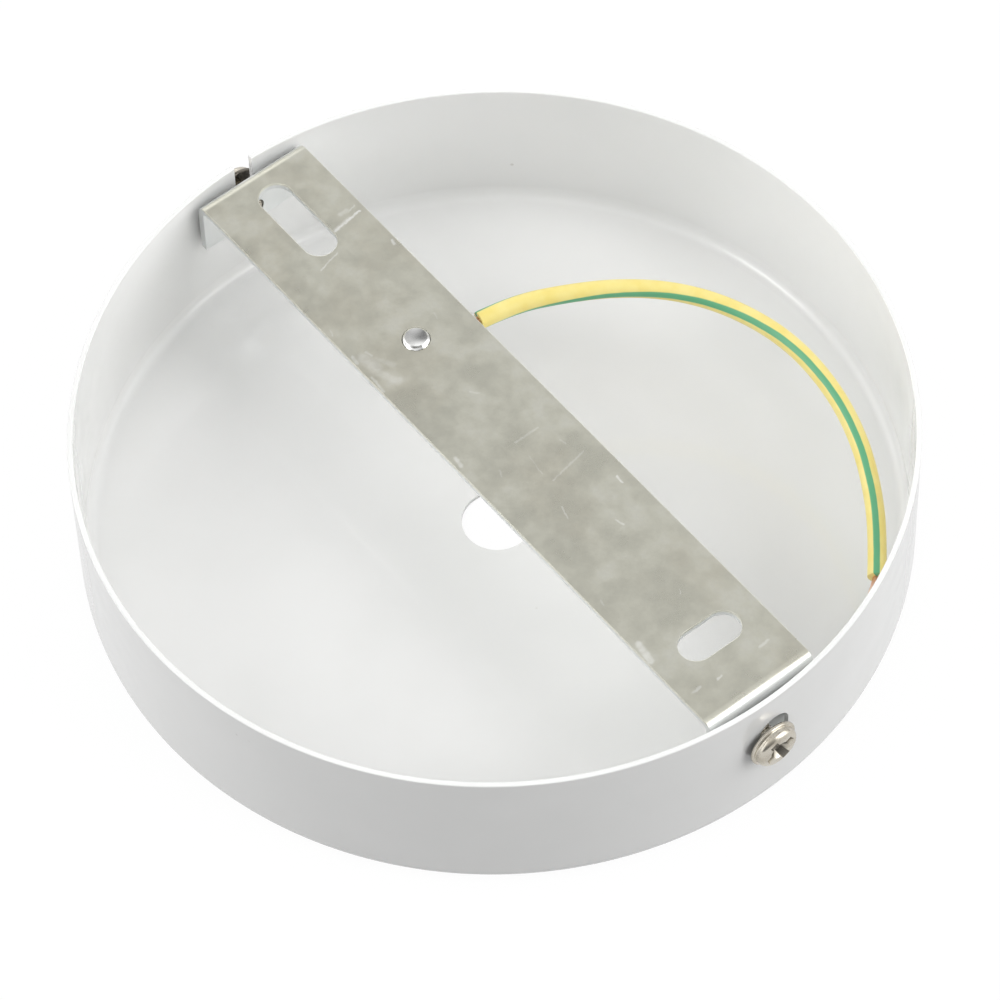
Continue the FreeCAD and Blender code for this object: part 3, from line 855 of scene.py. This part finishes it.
# strokes on the bracket's top, in millimetres: start, end, width, softness and strength
strokes = [
    ((-41.4, 3.7), (-42.1, 8.7), 0.12, 0.14, 0.85),
    ((-41.5, 3.9), (-41.9, 6.8), 0.22, 0.25, 0.35),
    ((-43.3, 6.2), (-43.3, 7.3), 0.16, 0.40, 0.30),
    ((-42.9, 7.4), (-43.4, 8.8), 0.04, 0.10, 0.45),
    ((-37.1, -2.1), (-38.1, 1.6), 0.05, 0.12, 0.55),
    ((-34.9, 9.1), (-34.1, 8.9), 0.10, 0.20, 0.70),
    ((-21.0, -7.0), (-18.5, -6.6), 0.30, 1.00, 0.38),
    ((-18.1, -7.0), (-14.7, -5.6), 0.22, 0.80, 0.30),
    ((-19.6, -5.6), (-17.4, -4.4), 0.10, 0.60, 0.22),
    ((-21.6, -6.0), (-20.5, -5.8), 0.06, 0.20, 0.40),
    ((-22.1, -8.0), (-20.8, -8.2), 0.12, 0.25, 0.55),
    ((-17.6, -8.1), (-14.6, -8.3), 0.08, 0.20, 0.50),
    ((0.9, -7.6), (2.4, -7.8), 0.12, 0.35, 0.55),
    ((4.1, 0.6), (4.1, 4.6), 0.07, 0.16, 0.34),
    ((12.5, 0.6), (11.3, 7.0), 0.06, 0.14, 0.32),
    ((7.1, 0.6), (10.6, 0.1), 0.03, 0.10, 0.30),
    ((16.7, -1.3), (18.8, -1.9), 0.05, 0.12, 0.45),
    ((17.6, 7.9), (18.9, 7.8), 0.08, 0.12, 0.75),
    ((23.2, 3.1), (24.5, 3.5), 0.05, 0.14, 0.45),
    ((41.1, -7.5), (44.3, -8.0), 0.24, 0.45, 0.60),
    ((37.7, 2.6), (38.4, 2.2), 0.03, 0.10, 0.45),
    ((52.4, -2.8), (52.2, -2.1), 0.08, 0.18, 0.60),
    ((51.9, -6.7), (51.8, -5.4), 0.08, 0.22, 0.50),
    ((52.0, 5.0), (51.8, 6.6), 0.04, 0.30, 0.45),
    ((-44.6, -0.1), (-44.9, 0.8), 0.03, 0.10, 0.40),
    ((-27.9, -7.6), (-26.8, -7.9), 0.04, 0.12, 0.40),
    ((-6.8, 1.1), (-5.7, 2.0), 0.04, 0.12, 0.30),
    ((-20.9, 5.7), (-19.9, 5.5), 0.04, 0.12, 0.28),
    ((6.4, -4.0), (7.4, -4.6), 0.04, 0.12, 0.30),
    ((32.2, -7.0), (33.2, -7.2), 0.04, 0.12, 0.30),
    ((7.7, 5.7), (8.8, 5.9), 0.04, 0.12, 0.30),
]


def makeZinc():
    material, nodes, links, shader = newMaterial("zincPlatedStrip")
    where = objectCoordinates(nodes)
    broad = noiseOf(nodes, links, where, 55.0, 4.0, 0.6)
    middle = noiseOf(nodes, links, where, 190.0, 4.0, 0.6)
    fine = noiseOf(nodes, links, where, 1500.0, 3.0, 0.6)
    browned = ramped(nodes, links, broad, 0.42, 0.62, 0, 0.55)
    colour = mixedColour(nodes, links, browned, zinc["film"], zinc["brown"])
    silvered = ramped(nodes, links, middle, 0.5, 0.72, 0, 0.38)
    colour = mixedColour(nodes, links, silvered, colour, zinc["silver"])
    colour = mixedColour(nodes, links, ramped(nodes, links, fine, 0.35, 0.7, 0, 0.18), colour, zinc["spot"])
    # strokes lie on the top only, and their edges are broken up by a fine noise
    flat = vectorMath(nodes, links, "MULTIPLY", where, (1, 1, 0)).outputs["Vector"]
    shaken = nodes.new("ShaderNodeTexNoise")
    shaken.inputs["Scale"].default_value = 1700.0
    links.new(where, shaken.inputs["Vector"])
    jitter = vectorMath(nodes, links, "SUBTRACT", shaken.outputs["Color"], (0.5, 0.5, 0.5)).outputs["Vector"]
    shake = zinc["strokeShake"]
    jitter = vectorMath(nodes, links, "MULTIPLY", jitter, (shake, shake, 0)).outputs["Vector"]
    flat = vectorMath(nodes, links, "ADD", flat, jitter).outputs["Vector"]
    marks = None
    for start, end, width, soft, strength in strokes:
        mask = strokeMask(nodes, links, flat, start, end, width, soft)
        mask = combined(nodes, links, "MULTIPLY", mask, strength)
        marks = mask if marks is None else combined(nodes, links, "MAXIMUM", marks, mask)
    height = nodes.new("ShaderNodeSeparateXYZ")
    links.new(where, height.inputs["Vector"])
    filmed = ramped(nodes, links, height.outputs["Z"], 23.5 * mm, 24.19 * mm, 0, 1)
    colour = mixedColour(nodes, links, filmed, zinc["clean"], colour)
    onTop = ramped(nodes, links, height.outputs["Z"], 23.9 * mm, 24.1 * mm, 0, 1)
    marks = combined(nodes, links, "MULTIPLY", marks, onTop)
    broken = ramped(nodes, links, noiseOf(nodes, links, where, 900.0, 3.0, 0.7), 0.3, 0.6, 0.55, 1)
    marks = combined(nodes, links, "MULTIPLY", marks, broken)
    colour = mixedColour(nodes, links, marks, colour, zinc["bright"])
    links.new(colour, shader.inputs["Base Color"])
    shader.inputs["Metallic"].default_value = zinc["metallic"]
    rough = ramped(nodes, links, middle, 0.3, 0.7, zinc["roughness"] - 0.05, zinc["roughness"] + 0.07)
    frosted = ramped(nodes, links, height.outputs["Z"], 23.5 * mm, 24.19 * mm, zinc["foldRoughness"], 0)
    rough = combined(nodes, links, "ADD", rough, frosted)
    links.new(combined(nodes, links, "ADD", rough, combined(nodes, links, "MULTIPLY", marks, 0.15)),
              shader.inputs["Roughness"])
    relief = combined(nodes, links, "ADD", fine, combined(nodes, links, "MULTIPLY", marks, -0.6))
    bumped(nodes, links, shader, relief, 0.25, 0.012 * mm)
    return material


# plated screws: polished metal, with painted shade darkening the cross recesses, the head's underside and
# the far collar's rim
# each finish: its colour, a darker tone for random clouding and flecks, the colour of its painted shade and
# its roughness
plated = {
    "nickel": {"colour": (0.66, 0.62, 0.54), "dark": (0.34, 0.29, 0.21), "paintedShade": (0.11, 0.10, 0.085),
               "roughness": 0.2},
    "bright": {"colour": (0.74, 0.74, 0.73), "dark": (0.34, 0.33, 0.31), "paintedShade": (0.2, 0.195, 0.18),
               "roughness": 0.2},
    "tin": {"colour": (0.70, 0.70, 0.69), "dark": (0.45, 0.45, 0.43), "paintedShade": (0.3, 0.3, 0.28),
            "roughness": 0.32},
}


def makePlated(name, look):
    material, nodes, links, shader = newMaterial(name)
    where = objectCoordinates(nodes)
    cloud = noiseOf(nodes, links, where, 420.0, 4.0, 0.6)
    grimeAndPaintedShade = noiseOf(nodes, links, where, 1100.0, 3.0, 0.6)
    clouded = ramped(nodes, links, cloud, 0.42, 0.75, 0, 0.45)
    colour = mixedColour(nodes, links, clouded, look["colour"], look["dark"])
    flecked = ramped(nodes, links, grimeAndPaintedShade, 0.6, 0.75, 0, 0.25)
    colour = mixedColour(nodes, links, flecked, colour, look["dark"])
    # painted shade: the mesh's attribute mixes the colour towards the painted shade colour
    marked = nodes.new("ShaderNodeAttribute")
    marked.attribute_name = "grimeAndPaintedShade"
    shadeShare = combined(nodes, links, "MULTIPLY", marked.outputs["Fac"], 0.88)
    colour = mixedColour(nodes, links, shadeShare, colour, look["paintedShade"])
    links.new(colour, shader.inputs["Base Color"])
    shader.inputs["Metallic"].default_value = 1.0
    links.new(ramped(nodes, links, cloud, 0.3, 0.7, look["roughness"] - 0.04, look["roughness"] + 0.10),
              shader.inputs["Roughness"])
    bumped(nodes, links, shader, grimeAndPaintedShade, 0.2, 0.01 * mm)
    return material


# the wire's sheath: satin yellow plastic with two green stripes that wander slowly round it
sheathLook = {
    "yellow": (0.87, 0.75, 0.28),
    "deepYellow": (0.82, 0.66, 0.16),
    "green": (0.12, 0.41, 0.215),
    "stripeHalf": 20.0,          # degrees, half of a stripe's width
    "stripeSoft": 3.0,
    "startTurn": 132.0,          # how far round the stripe is at the start, beyond its place at the end
    "endTurn": 3.0,
    "turnLength": 95.0 * mm,
    "roughness": 0.34,
}


def makeSheathLook():
    material, nodes, links, shader = newMaterial("greenYellowSheath")
    where = objectCoordinates(nodes)
    layer = nodes.new("ShaderNodeUVMap")
    layer.uv_map = "alongAndAround"
    split = nodes.new("ShaderNodeSeparateXYZ")
    links.new(layer.outputs["UV"], split.inputs["Vector"])
    along, turn = split.outputs["X"], split.outputs["Y"]
    # the stripe's middle, in degrees from the top, is the end turn plus the start turn times the
    # square of one less the share of the length
    gone = combined(nodes, links, "DIVIDE", along, sheathLook["turnLength"])
    left = combined(nodes, links, "SUBTRACT", 1.0, gone)
    squared = combined(nodes, links, "MULTIPLY", left, left)
    centre = combined(nodes, links, "MULTIPLY", squared, sheathLook["startTurn"])
    centre = combined(nodes, links, "ADD", centre, sheathLook["endTurn"])
    wander = ramped(nodes, links, noiseOf(nodes, links, where, 260.0, 2.0), 0.2, 0.8, -1.6, 1.6)
    centre = combined(nodes, links, "ADD", centre, wander)
    degrees = combined(nodes, links, "MULTIPLY", turn, 360.0)
    off = combined(nodes, links, "SUBTRACT", degrees, centre)
    # the two stripes lie opposite each other, so the angle is folded into half a turn
    folded = combined(nodes, links, "PINGPONG", off, 90.0)
    stripe = ramped(nodes, links, folded, sheathLook["stripeHalf"] - sheathLook["stripeSoft"],
                    sheathLook["stripeHalf"] + sheathLook["stripeSoft"], 1, 0)
    cloud = ramped(nodes, links, noiseOf(nodes, links, where, 300.0, 3.0), 0.3, 0.75, 0, 0.6)
    yellow = mixedColour(nodes, links, cloud, sheathLook["yellow"], sheathLook["deepYellow"])
    links.new(mixedColour(nodes, links, stripe, yellow, sheathLook["green"]), shader.inputs["Base Color"])
    satin = noiseOf(nodes, links, where, 900.0, 2.0)
    rough = ramped(nodes, links, satin, 0.3, 0.7, sheathLook["roughness"] - 0.05,
                   sheathLook["roughness"] + 0.07)
    links.new(rough, shader.inputs["Roughness"])
    shader.inputs["Subsurface Weight"].default_value = 0.12
    shader.inputs["Subsurface Radius"].default_value = (1.0, 0.8, 0.3)
    shader.inputs["Subsurface Scale"].default_value = 0.4 * mm
    bumped(nodes, links, shader, noiseOf(nodes, links, where, 1300.0, 2.0), 0.2, 0.015 * mm)
    return material


# bare copper: warm and bright, paler towards the cut tips
copperLook = {
    "colour": (0.80, 0.47, 0.32),
    "pale": (0.92, 0.80, 0.68),
    "dull": (0.60, 0.30, 0.18),
    "roughness": 0.28,
}


def makeCopperLook():
    material, nodes, links, shader = newMaterial("bareCopper")
    where = objectCoordinates(nodes)
    cloud = noiseOf(nodes, links, where, 1400.0, 3.0)
    tipPlace = tuple(float(v) for v in wireLine[-1] + np.array(strands["way"]) * strands["length"])
    away = vectorMath(nodes, links, "DISTANCE", where, tipPlace).outputs["Value"]
    tip = ramped(nodes, links, away, 0.6 * mm, 3.4 * mm, 0.9, 0.0)
    colour = mixedColour(nodes, links, tip, copperLook["colour"], copperLook["pale"])
    dulled = ramped(nodes, links, cloud, 0.45, 0.8, 0, 0.5)
    colour = mixedColour(nodes, links, dulled, colour, copperLook["dull"])
    links.new(colour, shader.inputs["Base Color"])
    shader.inputs["Metallic"].default_value = 1.0
    shader.inputs["Roughness"].default_value = copperLook["roughness"]
    return material


looks = {
    "paint": makePaint(),
    "zinc": makeZinc(),
    "nickel": makePlated("nickelPlate", plated["nickel"]),
    "bright": makePlated("brightZinc", plated["bright"]),
    "tin": makePlated("tinPlate", plated["tin"]),
    "sheath": makeSheathLook(),
    "copper": makeCopperLook(),
}


def dress(piece, look):
    piece.data.materials.clear()
    piece.data.materials.append(looks[look])


# each look's pieces, and the solids that they stand for
dressing = {
    "paint": ([cupShell], ["cup"]),
    "zinc": ([bracketStrip], ["bracket"]),
    "nickel": ([nearScrew, farScrew], ["side_screw_1", "side_screw_2"]),
    "bright": ([earthBolt, washer], ["earth_screw", "earth_washer"]),
    "tin": ([terminal], ["earth_terminal"]),
    "sheath": ([sheath], ["earth_wire"]),
    "copper": ([bareCopper], ["earth_wire_copper"]),
}
for look, (pieces, names) in dressing.items():
    for piece in pieces + [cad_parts[name] for name in names]:
        dress(piece, look)
print("materials set")


# the studio: a white table under a tent that is lit in soft patches
studio = {
    "floorSize": 3.0,
    "floorColour": (0.2, 0.2, 0.2),
    "floorGlow": 1.2,
    "floorGlowShare": 0.8,
    "floorInGloss": 0.8,       # how much of that glow mirror images show
    "tent": (0.97, 0.972, 0.97),
    "tentPlain": 0.2,          # the strength between the patches
    "patches": [
        # azimuth, elevation, radius in degrees, and strength at the middle
        (50, 28, 38, 2.4),     # the main lamp's screen, right of the bracket, and the lamp itself
        (28, 47, 14, 4.5),
        (26, 12, 26, 1.2),
        (225, 32, 40, 1.25),   # the second lamp's screen, on the left, and the lamp itself
        (246, 42, 13, 3.6),
        (262, 14, 28, 1.25),
        (250, 54, 36, 0.6),    # the ceiling above the camera and over the rose
        (285, 52, 36, 0.4),
        (345, 50, 36, 0.35),
        (0, 86, 34, 0.42),
        (120, 72, 24, 0.35),
        (120, 22, 44, 0.8),    # the back wall
        (156, 24, 26, 0.9),
        (200, 12, 36, 1.0),
    ],
}


def makeFloor():
    # the camera and mirror images see the table as lit white paper, all other light meets plain paper
    size = studio["floorSize"] / 2
    corners = np.array([[-size, -size, 0], [size, -size, 0], [size, size, 0], [-size, size, 0]])
    floor = newPiece("studioFloor", corners, [[0, 1, 2, 3]])
    material, nodes, links, shader = newMaterial("floorPaper")
    shader.inputs["Base Color"].default_value = (*studio["floorColour"], 1)
    shader.inputs["Roughness"].default_value = 0.9
    glow = nodes.new("ShaderNodeEmission")
    glow.inputs["Color"].default_value = (1, 1, 1, 1)
    glow.inputs["Strength"].default_value = studio["floorGlow"]
    ray = nodes.new("ShaderNodeLightPath")
    direct, through = ray.outputs["Is Camera Ray"], ray.outputs["Is Transmission Ray"]
    seen = combined(nodes, links, "MAXIMUM", direct, through)
    gloss = combined(nodes, links, "MULTIPLY", ray.outputs["Is Glossy Ray"], studio["floorInGloss"])
    seen = combined(nodes, links, "MAXIMUM", seen, gloss)
    share = combined(nodes, links, "MULTIPLY", seen, studio["floorGlowShare"])
    mix = nodes.new("ShaderNodeMixShader")
    links.new(share, mix.inputs["Fac"])
    links.new(shader.outputs["BSDF"], mix.inputs[1])
    links.new(glow.outputs["Emission"], mix.inputs[2])
    links.new(mix.outputs["Shader"], nodes["Material Output"].inputs["Surface"])
    floor.data.materials.append(material)


def makeTent():
    # the tent's strength is a plain level plus each patch's own, which rises smoothly from nothing at
    # the patch's edge to its middle. The camera itself sees plain white
    world = bpy.data.worlds.new("studioTent")
    world.use_nodes = True
    nodes, links = world.node_tree.nodes, world.node_tree.links
    way = nodes.new("ShaderNodeTexCoord").outputs["Generated"]
    strength = studio["tentPlain"]
    for azimuth, elevation, radius, bright in studio["patches"]:
        around, above = math.radians(azimuth), math.radians(elevation)
        middle = (math.cos(above) * math.cos(around), math.cos(above) * math.sin(around), math.sin(above))
        near = vectorMath(nodes, links, "DOT_PRODUCT", way, middle).outputs["Value"]
        patch = ramped(nodes, links, near, math.cos(math.radians(radius)), 1, 0, bright)
        strength = combined(nodes, links, "ADD", patch, strength)
    seen = nodes.new("ShaderNodeLightPath").outputs["Is Camera Ray"]
    hidden = combined(nodes, links, "SUBTRACT", 1.0, seen)
    strength = combined(nodes, links, "ADD", combined(nodes, links, "MULTIPLY", strength, hidden), seen)
    shade = nodes["Background"]
    shade.inputs["Color"].default_value = (*studio["tent"], 1)
    links.new(strength, shade.inputs["Strength"])
    bpy.context.scene.world = world


makeFloor()
makeTent()
bpy.context.scene.view_settings.view_transform = "Standard"
print("studio lit")
